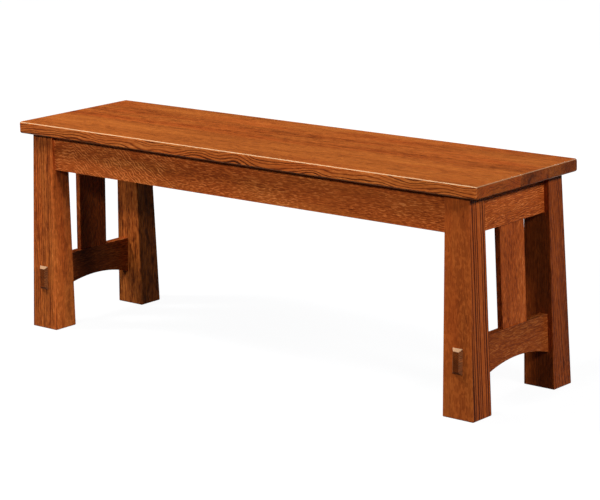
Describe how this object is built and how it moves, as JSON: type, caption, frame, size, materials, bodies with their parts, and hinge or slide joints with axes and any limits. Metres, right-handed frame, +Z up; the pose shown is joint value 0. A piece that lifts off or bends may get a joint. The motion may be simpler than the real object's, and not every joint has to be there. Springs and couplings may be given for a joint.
{
  "type": "mission bench",
  "caption": "Backless mission bench: slab seat on tapered legs, with leaning slatted ends and arched low rails.",
  "frame": {"origin": "on the floor under the middle of the seat", "axes": "+X along the seat's length to the right end seen from the front, -Y the front, +Z up"},
  "size_m": [1.2318, 0.3334, 0.4572],
  "materials": {
    "stained_oak": "satin clear coat",
    "tenon_oak": "satin clear coat",
    "inner_oak": "sealed, no gloss",
    "screw_steel": "zinc plated"
  },
  "bodies": {
    "root": {"seat_board_front": "stained_oak", "seat_board_middle": "stained_oak", "seat_board_back": "stained_oak", "front_apron": "stained_oak", "back_apron": "stained_oak", "end_apron_left": "stained_oak", "low_rail_left": "stained_oak", "slat_left": "stained_oak", "leg_front_left": "stained_oak", "leg_back_left": "stained_oak", "end_apron_right": "stained_oak", "low_rail_right": "stained_oak", "slat_right": "stained_oak", "leg_front_right": "stained_oak", "leg_back_right": "stained_oak", "tenon_front_left": "tenon_oak", "tenon_back_left": "tenon_oak", "tenon_front_right": "tenon_oak", "tenon_back_right": "tenon_oak", "corner_block_front_left": "inner_oak", "corner_block_back_left": "inner_oak", "corner_block_front_right": "inner_oak", "corner_block_back_right": "inner_oak", "seat_cleat": "inner_oak", "seat_buttons": "inner_oak", "block_screws": "screw_steel", "seat_screws": "screw_steel", "button_screws": "screw_steel"}
  },
  "joints": []
}
